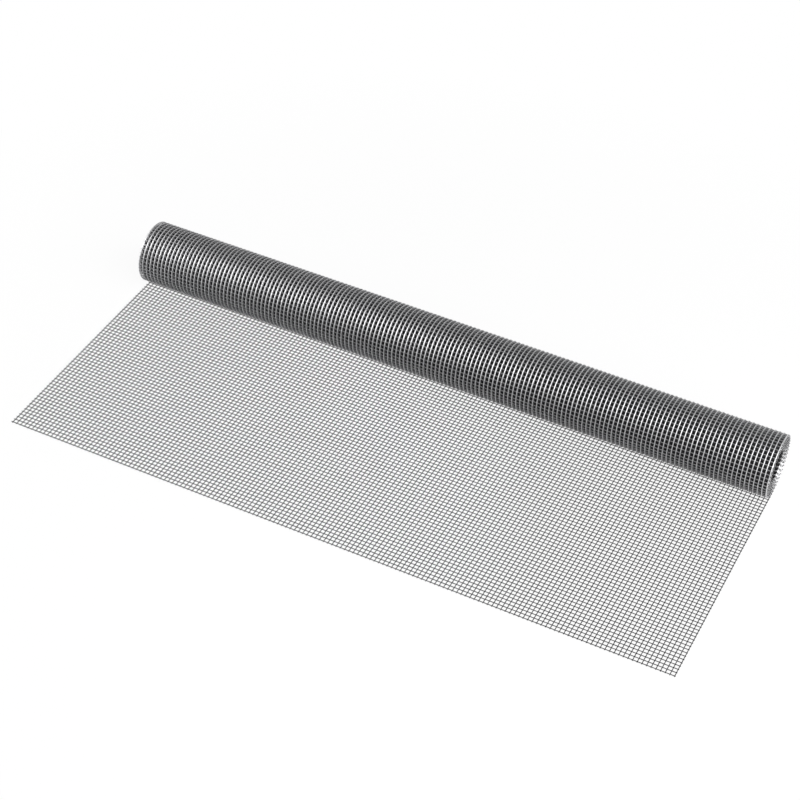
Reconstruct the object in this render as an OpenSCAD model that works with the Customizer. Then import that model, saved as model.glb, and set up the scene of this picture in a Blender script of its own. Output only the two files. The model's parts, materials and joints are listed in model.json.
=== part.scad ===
// Roll of fine welded wire mesh, partly unrolled on the floor.
// X runs along the roll, Y runs from the free edge towards the roll, and Z is up.
// The origin is on the floor, below the middle of the whole part.

/* [Mesh] */
// Width of the mesh, which is also the length of the roll
mesh_w = 1000; // [300:50:1500]
// Distance from one wire to the next, both ways
mesh_pitch = 6.35; // [5:0.05:25]
// Thickness of the wire
wire_d = 1.2; // [0.5:0.05:1.6]
// Least length of the cut wire ends that stand past the outermost wires
cut_end = 0.9; // [0.9:0.1:3]

/* [Unrolled run] */
// Length of mesh that lies flat, from below the axis of the roll to the free edge
run_l = 388.4; // [150:0.1:900]

/* [Roll] */
// Bore left by the mandrel that the mesh was wound on
bore_d = 44; // [30:1:120]
// Turns that are still on the roll
turns = 10; // [4:1:30]

/* [Hidden] */

// Gap between the roll and the mesh that it lies on
seat_gap = 0.05;
// Sides of a wire: its flats lie up and down, so that crossing wires meet face to face
wire_sides = 8;
corner_d = wire_d / cos(180 / wire_sides);

// A layer of mesh is a line wire with a cross wire laid on it and welded
layer_t = 2 * wire_d;
line_z = wire_d / 2;
cross_z = wire_d + wire_d / 2;

// Clear width of a cell
clear_w = mesh_pitch - wire_d;
// Whole cells that fit in the width and in the flat run
columns = floor((mesh_w - 2 * cut_end) / mesh_pitch);
rows = floor((run_l - cut_end) / mesh_pitch);
side_end = (mesh_w - columns * mesh_pitch) / 2;

// The roll lies on the far end of its own flat run
bore_r = bore_d / 2;
roll_r = bore_r + turns * layer_t;
roll_y = (run_l - roll_r) / 2;
roll_z = layer_t + seat_gap + roll_r;
// Cross wires stand this far past the outer line wires, so the turns read as rings on the ends
ring_depth = side_end - wire_d / 2;

// One straight wire along Z
module wire(length) {
  rotate([0, 0, 180 / wire_sides])
    cylinder(h = length, d = corner_d, $fn = wire_sides);
}

// Half section of the wound turns: on the ends each turn is a rib of cross wire ends beside a step of
// line wire, and on the outside the line wires of the last turn stand out as rings
module turns_section() {
  end_x = mesh_w / 2;
  step_x = end_x - ring_depth;
  first_gap_x = step_x - wire_d;
  gap_r = roll_r - wire_d;
  right_end = [
    for (turn = [0 : turns - 1])
      let (inner_r = bore_r + turn * layer_t)
        each [
          [inner_r, end_x],
          [inner_r + wire_d, end_x],
          [inner_r + wire_d, step_x],
          [inner_r + layer_t, step_x]
        ]
  ];
  gaps = [
    for (i = [0 : columns - 1])
      let (right_x = first_gap_x - i * mesh_pitch, left_x = right_x - clear_w)
        each [
          [roll_r, right_x],
          [gap_r, right_x],
          [gap_r, left_x],
          [roll_r, left_x]
        ]
  ];
  last = len(right_end) - 1;
  left_end = [for (i = [last : -1 : 0]) [right_end[i].x, -right_end[i].y]];
  polygon(concat(right_end, gaps, left_end));
}

// The wound part of the stock, turned as one solid about its open bore
module roll() {
  color("dimgray")
    translate([0, roll_y, roll_z])
      rotate([0, 90, 0])
        rotate_extrude($fn = 180)
          turns_section();
}

// Wires along the length of the stock, in the lower layer of the flat run
module line_wires() {
  color("darkgray")
    for (i = [0 : columns])
      translate([(i - columns / 2) * mesh_pitch, roll_y + wire_d, line_z])
        rotate([90, 0, 0])
          wire(run_l + wire_d);
}

// Wires across the stock, one on each row of welds, from below the roll to the free edge
module cross_wires() {
  color("silver")
    for (j = [0 : rows])
      translate([-mesh_w / 2, roll_y - j * mesh_pitch, cross_z])
        rotate([0, 90, 0])
          wire(mesh_w);
}

roll();
line_wires();
cross_wires();
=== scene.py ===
import json
import math

import bpy
import numpy as np
from mathutils import Matrix, Vector


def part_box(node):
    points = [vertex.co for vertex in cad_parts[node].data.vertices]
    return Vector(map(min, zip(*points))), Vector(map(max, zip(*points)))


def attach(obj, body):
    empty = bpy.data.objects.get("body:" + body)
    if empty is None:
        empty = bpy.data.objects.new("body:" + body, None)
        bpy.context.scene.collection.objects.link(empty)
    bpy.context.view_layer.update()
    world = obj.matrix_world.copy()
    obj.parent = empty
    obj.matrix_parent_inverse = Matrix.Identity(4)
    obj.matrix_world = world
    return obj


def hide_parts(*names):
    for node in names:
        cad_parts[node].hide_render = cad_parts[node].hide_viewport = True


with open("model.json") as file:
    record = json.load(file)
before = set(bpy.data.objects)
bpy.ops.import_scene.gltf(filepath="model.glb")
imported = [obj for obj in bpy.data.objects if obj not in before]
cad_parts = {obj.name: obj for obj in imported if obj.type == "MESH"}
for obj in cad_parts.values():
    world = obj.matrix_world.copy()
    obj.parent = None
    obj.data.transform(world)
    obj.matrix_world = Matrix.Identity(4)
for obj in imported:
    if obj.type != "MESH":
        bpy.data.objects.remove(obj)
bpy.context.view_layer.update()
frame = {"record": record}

# Line wires of the flat run
# Drawn steel wires that run the length of the stock, side by side over its whole width. In the flat run
# they lie straight on the floor, under the cross wires, and end in a square cut at the free edge.

MM = 0.001
mesh_pitch = 6.35 * MM
line_low, line_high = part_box("line_wires")
roll_low, roll_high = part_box("roll")
wire_d = line_high.z - line_low.z
columns = round((line_high.x - line_low.x - wire_d) / mesh_pitch)
line_x = (np.arange(columns + 1) - columns / 2) * mesh_pitch
line_z = wire_d / 2
free_edge_y = line_low.y
roll_y = (roll_low.y + roll_high.y) / 2
# The width of the stock lies along the roll, and its length runs from the free edge to the roll.
along_width = (1, 0, 0)
along_length = (0, 1, 0)
straight_wire_sides = 8
# Bloom on the zinc lies in patches about one and a half cells long.
bloom_patch = 9 * MM


def linear(hex_colour):
    """An sRGB hex colour as linear red, green, blue and alpha."""
    srgb = [int(hex_colour[i:i + 2], 16) / 255 for i in (1, 3, 5)]
    return [c / 12.92 if c <= 0.04045 else ((c + 0.055) / 1.055) ** 2.4 for c in srgb] + [1]


def add_node(tree, kind, settings=(), *in_order, **by_name):
    """A shader node with its settings, and its inputs linked or set, in their order or by name."""
    node = tree.nodes.new(kind)
    for name, value in dict(settings).items():
        setattr(node, name, value)
    named = [(node.inputs[name.replace("_", " ")], value) for name, value in by_name.items()]
    for socket, value in [*zip(node.inputs, in_order), *named]:
        if isinstance(value, bpy.types.NodeSocket):
            tree.links.new(value, socket)
        else:
            socket.default_value = value
    return node


def zinc_wire(name, bright, dull, bright_roughness, dull_roughness):
    """Galvanised wire with patches of bright zinc of one roughness and of dull zinc of another."""
    material = bpy.data.materials.new(name)
    material.use_nodes = True
    tree = material.node_tree
    shader = tree.nodes["Principled BSDF"]
    shader.inputs["Metallic"].default_value = 1.0
    place = add_node(tree, "ShaderNodeTexCoord")
    bloom = add_node(tree, "ShaderNodeTexNoise", Vector=place.outputs["Object"],
                     Scale=1 / bloom_patch, Detail=3.0, Roughness=0.6)
    patches = add_node(tree, "ShaderNodeMapRange", Value=bloom.outputs["Fac"],
                       From_Min=0.35, From_Max=0.65)
    colour = add_node(tree, "ShaderNodeMix", {"data_type": "RGBA"},
                      Factor=patches.outputs["Result"], A=linear(dull), B=linear(bright))
    finish = add_node(tree, "ShaderNodeMapRange", Value=patches.outputs["Result"],
                      To_Min=dull_roughness, To_Max=bright_roughness)
    tree.links.new(colour.outputs["Result"], shader.inputs["Base Color"])
    tree.links.new(finish.outputs["Result"], shader.inputs["Roughness"])
    return material


# Hot-dip galvanised steel with a matt bloom. On the flat run it is painted a dull dark grey, darker than
# the
# same wire on the roll: painted shade, so the wires draw thin dark lines on a pale floor and shine only a
# little.
painted_dark_flat_zinc = zinc_wire("galvanised_steel_wire_painted_dark_flat", bright="#5A5A5C", dull="#4A4A4C",
                      bright_roughness=0.28, dull_roughness=0.38)
# Where the wires were sheared off they show bare steel, torn to a fine grain that looks pale
# from every side.
sheared = zinc_wire("sheared_steel", bright="#EAEAEA", dull="#DADADA",
                    bright_roughness=0.45, dull_roughness=0.55)


def swept_wires(paths, side, sides):
    """Wires along paths of shape (wires, points, 3), as corner points, side faces and cut ends.
    side is a unit vector square to every path, and sides is how many flat sides a wire has."""
    wires, points, _ = paths.shape
    along = np.gradient(paths, axis=1)
    along /= np.linalg.norm(along, axis=2, keepdims=True)
    across = np.cross(along, side)
    turn = (np.arange(sides) + 0.5) * 2 * math.pi / sides
    # Flats lie a little inside the round wire and corners a little outside, so that it looks as thick.
    reach = wire_d / 2 / math.cos(math.pi / sides) ** 0.5
    rim = np.cos(turn)[:, None] * np.asarray(side) + np.sin(turn)[:, None] * across[:, :, None, :]
    corners = paths[:, :, None, :] + reach * rim
    first = np.arange(wires)[:, None, None] * points * sides
    ring = first + np.arange(points - 1)[None, :, None] * sides
    corner = np.arange(sides)[None, None, :]
    following = (corner + 1) % sides
    walls = np.stack([ring + corner, ring + following,
                      ring + sides + following, ring + sides + corner], -1)
    cut_corners = np.concatenate([corners[:, 0, ::-1], corners[:, -1]]).reshape(-1, 3)
    cuts = corners.size // 3 + np.arange(len(cut_corners)).reshape(-1, sides)
    return np.concatenate([corners.reshape(-1, 3), cut_corners]), walls.reshape(-1, 4), cuts


def wire_piece(name, paths, side, sides, material, node):
    """One piece of wires that stands for a CAD node, smooth along the wires and sheared at their ends."""
    corners, walls, cuts = swept_wires(paths, side, sides)
    is_cut = np.arange(len(walls) + len(cuts)) >= len(walls)
    face_sizes = np.where(is_cut, sides, 4)
    loops = np.concatenate([walls.ravel(), cuts.ravel()])
    mesh = bpy.data.meshes.new(name)
    mesh.vertices.add(len(corners))
    mesh.vertices.foreach_set("co", corners.astype(np.float32).ravel())
    mesh.loops.add(len(loops))
    mesh.loops.foreach_set("vertex_index", loops.astype(np.int32))
    mesh.polygons.add(len(face_sizes))
    mesh.polygons.foreach_set("loop_start", (np.cumsum(face_sizes) - face_sizes).astype(np.int32))
    mesh.polygons.foreach_set("use_smooth", ~is_cut)
    mesh.update(calc_edges=True)
    mesh.polygons.foreach_set("material_index", is_cut.astype(np.int32))
    mesh.materials.append(material)
    mesh.materials.append(sheared)
    piece = bpy.data.objects.new(name, mesh)
    bpy.context.scene.collection.objects.link(piece)
    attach(piece, "root")
    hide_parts(node)


line_paths = np.zeros((columns + 1, 2, 3))
line_paths[:, :, 0] = line_x[:, None]
line_paths[:, :, 1] = [free_edge_y, roll_y]
line_paths[:, :, 2] = line_z
wire_piece("flat_line_wires", line_paths, along_width, straight_wire_sides, painted_dark_flat_zinc, "line_wires")

# Cross wires of the flat run
# Straight wires as long as the stock is wide, laid across the line wires and welded at every crossing.
# Their cut ends stand a little past the outermost line wires on both sides.

cross_low, cross_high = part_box("cross_wires")
cross_z = (cross_low.z + cross_high.z) / 2
rows = round((cross_high.y - cross_low.y - wire_d) / mesh_pitch)
row_y = roll_y - np.arange(rows + 1) * mesh_pitch
cross_ends_x = (cross_low.x, cross_high.x)

cross_paths = np.zeros((rows + 1, 2, 3))
cross_paths[:, :, 0] = cross_ends_x
cross_paths[:, :, 1] = row_y[:, None]
cross_paths[:, :, 2] = cross_z
wire_piece("flat_cross_wires", cross_paths, along_length, straight_wire_sides, painted_dark_flat_zinc, "cross_wires")

# Line wires of the roll
# The same wires wound on from the flat run: they leave it below the roll, rise behind it and turn
# inward as one spiral, each turn lying on the one inside it, down to the bore that the mandrel left.

mounts = {mount["name"]: mount for mount in frame["record"]["mounts"]}
bore_r = mounts["roll_bore"]["dims"]["r_mm"] * MM
roll_r = (roll_high.z - roll_low.z) / 2
roll_z = (roll_low.z + roll_high.z) / 2
turn_t = 2 * wire_d
turns = round((roll_r - bore_r) / turn_t)
outer_r = roll_z - line_z
full_turn = 2 * math.pi
# The winding isn't quite true: each turn lies a little to the left of the one outside it.
turn_drift = -0.2 * MM


def spiral(angle, inset=0.0):
    """Points of the winding at these angles from the bottom of the roll, as (y, z), or inset from it
    towards the axis."""
    r = outer_r - turn_t * angle / full_turn - inset
    return np.stack([roll_y + r * np.sin(angle), roll_z - r * np.cos(angle)], -1)


def wound_line_wires(name, across, material, first_turn, last_turn, steps, sides):
    """The line wires at some places across the roll, over some turns, in so many straight steps a turn."""
    angle = np.linspace(first_turn, last_turn, (last_turn - first_turn) * steps + 1) * full_turn
    paths = np.zeros((len(across), len(angle), 3))
    paths[:, :, 0] = across[:, None] + turn_drift * angle / full_turn
    paths[:, :, 1:] = spiral(angle)
    wire_piece(name, paths, along_width, sides, material, "roll")


# The outer turn and the ends are painted in the lightest grey of the same zinc, a painted sheen, and with
# a rougher finish each ring carries a broad soft streak of light.
painted_sheen_zinc = zinc_wire("galvanised_steel_wire_painted_sheen", bright="#DEDEDF", dull="#CACACC",
                   bright_roughness=0.42, dull_roughness=0.50)
# The wires just below are painted a greyer, duller zinc: painted half shade, lighter than the turns
# inside.
painted_half_shade_zinc = zinc_wire("galvanised_steel_wire_painted_half_shade", bright="#B6B6B7", dull="#A0A0A2",
                      bright_roughness=0.36, dull_roughness=0.46)
# The turns inside are painted a dark grey: painted shade, where the turns outside shade them, so they look
# dull and the outer turn stands out.
painted_deep_shade_zinc = zinc_wire("galvanised_steel_wire_painted_deep_shade", bright="#5C5C5D", dull="#4A4A4C",
                   bright_roughness=0.42, dull_roughness=0.52)

# The outermost wires show on the ends of the roll in every turn. The others are seen less the deeper
# they lie, so they are made with fewer steps and sides there.
end_x = line_x[[0, -1]]
inner_x = line_x[1:-1]
wound_line_wires("roll_outer_turn", line_x, painted_sheen_zinc, first_turn=0, last_turn=1, steps=48, sides=6)
wound_line_wires("roll_middle_turns", inner_x, painted_half_shade_zinc, first_turn=1, last_turn=3, steps=40, sides=5)
wound_line_wires("roll_inner_turns", inner_x, painted_deep_shade_zinc, first_turn=3, last_turn=7, steps=32, sides=3)
wound_line_wires("roll_core_turns", inner_x, painted_deep_shade_zinc, first_turn=7, last_turn=turns, steps=28, sides=3)
wound_line_wires("roll_end_turns", end_x, painted_sheen_zinc, first_turn=1, last_turn=turns, steps=48, sides=6)

# Cross wires of the roll
# Wires like those of the flat run, welded inside the line wires one cell apart along the whole winding.
# Their cut ends draw the spiral of the turns on both ends of the roll.

# The length of the winding, and the angle that it has reached after each cell of that length
wound_l = outer_r * turns * full_turn - turn_t * full_turn * turns ** 2 / 2
wound_at = np.arange(1, int(wound_l / mesh_pitch) + 1) * mesh_pitch
lead = turn_t / full_turn
wound_angle = (outer_r - np.sqrt(outer_r ** 2 - 2 * lead * wound_at)) / lead

wound_paths = np.zeros((len(wound_at), 2, 3))
wound_paths[:, :, 0] = np.array(cross_ends_x) + turn_drift * wound_angle[:, None] / full_turn
wound_paths[:, :, 1:] = spiral(wound_angle, inset=wire_d)[:, None, :]
outer_paths = wound_paths[wound_angle < full_turn]
inner_paths = wound_paths[wound_angle >= full_turn]
wire_piece("roll_outer_cross_wires", outer_paths, along_length, straight_wire_sides, painted_half_shade_zinc, "roll")
wire_piece("roll_inner_cross_wires", inner_paths, along_length, straight_wire_sides, painted_deep_shade_zinc, "roll")

# Floor
# A plain floor of matt white paper that runs far past the object. To the eye it is plain white away
# from the object, and near it keeps a part of its own shade, so that the wires' soft shadow shows.

floor_half = 30.0
# Out to the near distance from the middle, the near share of what the eye meets is plain white and the
# rest is the paper's own shade. From the far distance on, all of it is plain white.
near = 0.4
far = 1.0
near_white = 0.9
# How much of that white shows in metal or through glass: the rest is the dimmer room round a studio
# floor.
mirrored_share = 0.4

floor_corners = [(-floor_half, -floor_half, 0), (floor_half, -floor_half, 0),
                 (floor_half, floor_half, 0), (-floor_half, floor_half, 0)]
floor_mesh = bpy.data.meshes.new("floor")
floor_mesh.from_pydata(floor_corners, [], [(0, 1, 2, 3)])
floor = bpy.data.objects.new("floor", floor_mesh)
bpy.context.scene.collection.objects.link(floor)


def white_share(tree, by_eye):
    """How much plain white a ray meets: one share by eye, and another in metal or through glass."""
    ray = add_node(tree, "ShaderNodeLightPath")
    direct = add_node(tree, "ShaderNodeMath", {"operation": "MULTIPLY"},
                      ray.outputs["Is Camera Ray"], by_eye)
    mirrored = add_node(tree, "ShaderNodeMath", {"operation": "ADD"},
                        ray.outputs["Is Glossy Ray"], ray.outputs["Is Transmission Ray"])
    both = add_node(tree, "ShaderNodeMath", {"operation": "MULTIPLY_ADD"},
                    mirrored.outputs["Value"], mirrored_share, direct.outputs["Value"])
    return both.outputs["Value"]


# Uncoated white paper, whose fibres scatter the light evenly and give it no shine.
paper = bpy.data.materials.new("matt_white_paper")
paper.use_nodes = True
tree = paper.node_tree
tree.nodes.remove(tree.nodes["Principled BSDF"])
shaded = add_node(tree, "ShaderNodeBsdfDiffuse", Color=linear("#FAFAFA"))
white = add_node(tree, "ShaderNodeEmission", Strength=1.0)
place = add_node(tree, "ShaderNodeTexCoord")
away = add_node(tree, "ShaderNodeVectorMath", {"operation": "LENGTH"}, place.outputs["Object"])
by_eye = add_node(tree, "ShaderNodeMapRange", Value=away.outputs["Value"],
                  From_Min=near, From_Max=far, To_Min=near_white, To_Max=1.0)
mix = add_node(tree, "ShaderNodeMixShader", {}, white_share(tree, by_eye.outputs["Result"]),
               shaded.outputs["BSDF"], white.outputs["Emission"])
tree.links.new(mix.outputs["Shader"], tree.nodes["Material Output"].inputs["Surface"])
floor_mesh.materials.append(paper)

# Light
# Soft boxes to the right and left of the object and a smaller one high in front, in a surround that is
# white to the eye and gives a little even light.

even_light = 0.1
world = bpy.data.worlds.new("white_surround")
bpy.context.scene.world = world
world.use_nodes = True
sky = world.node_tree
background = sky.nodes["Background"]
background.inputs["Color"].default_value = (1, 1, 1, 1)
strength = add_node(sky, "ShaderNodeMapRange", Value=white_share(sky, 1.0),
                    To_Min=even_light, To_Max=1.0)
sky.links.new(strength.outputs["Result"], background.inputs["Strength"])


def soft_box(name, place, aim, width, height, watts):
    """A rectangular lamp at a place, turned to face a point."""
    lamp = bpy.data.lights.new(name, "AREA")
    lamp.shape = "RECTANGLE"
    lamp.size = width
    lamp.size_y = height
    lamp.energy = watts
    stand = bpy.data.objects.new(name, lamp)
    stand.location = place
    stand.visible_camera = False
    stand.rotation_euler = (Vector(aim) - Vector(place)).to_track_quat("-Z", "Y").to_euler()
    bpy.context.scene.collection.objects.link(stand)


soft_box("right_soft_box", place=(1.9, -0.5, 1.4), aim=(0, -0.3, 0.4), width=2.4, height=2.6, watts=82)
soft_box("left_soft_box", place=(-2.5, -0.6, 0.8), aim=(0, -0.3, 0.3), width=1.6, height=1.3, watts=54)
soft_box("key_soft_box", place=(1.0, -1.0, 2.2), aim=(0, 0.1, 0.05), width=0.7, height=1.2, watts=17)

# Camera
# A camera at the photograph's viewing angle, placed by the corners of the flat run and the outline
# of the roll.

image_side_px = 800
focal_px = 2097
camera_place = Vector((0.895, roll_y - 2.172, 1.981))
camera_yaw = math.radians(24.09)
camera_pitch = math.radians(40.8)
camera_roll = math.radians(3.32)

camera_data = bpy.data.cameras.new("camera")
camera_data.sensor_width = 36.0
camera_data.lens = focal_px / image_side_px * camera_data.sensor_width
camera = bpy.data.objects.new("camera", camera_data)
camera.matrix_world = (Matrix.Translation(camera_place) @ Matrix.Rotation(camera_yaw, 4, "Z")
                       @ Matrix.Rotation(math.pi / 2 - camera_pitch, 4, "X")
                       @ Matrix.Rotation(camera_roll, 4, "Z"))
bpy.context.scene.collection.objects.link(camera)
bpy.context.scene.camera = camera
bpy.context.scene.view_settings.view_transform = "Standard"
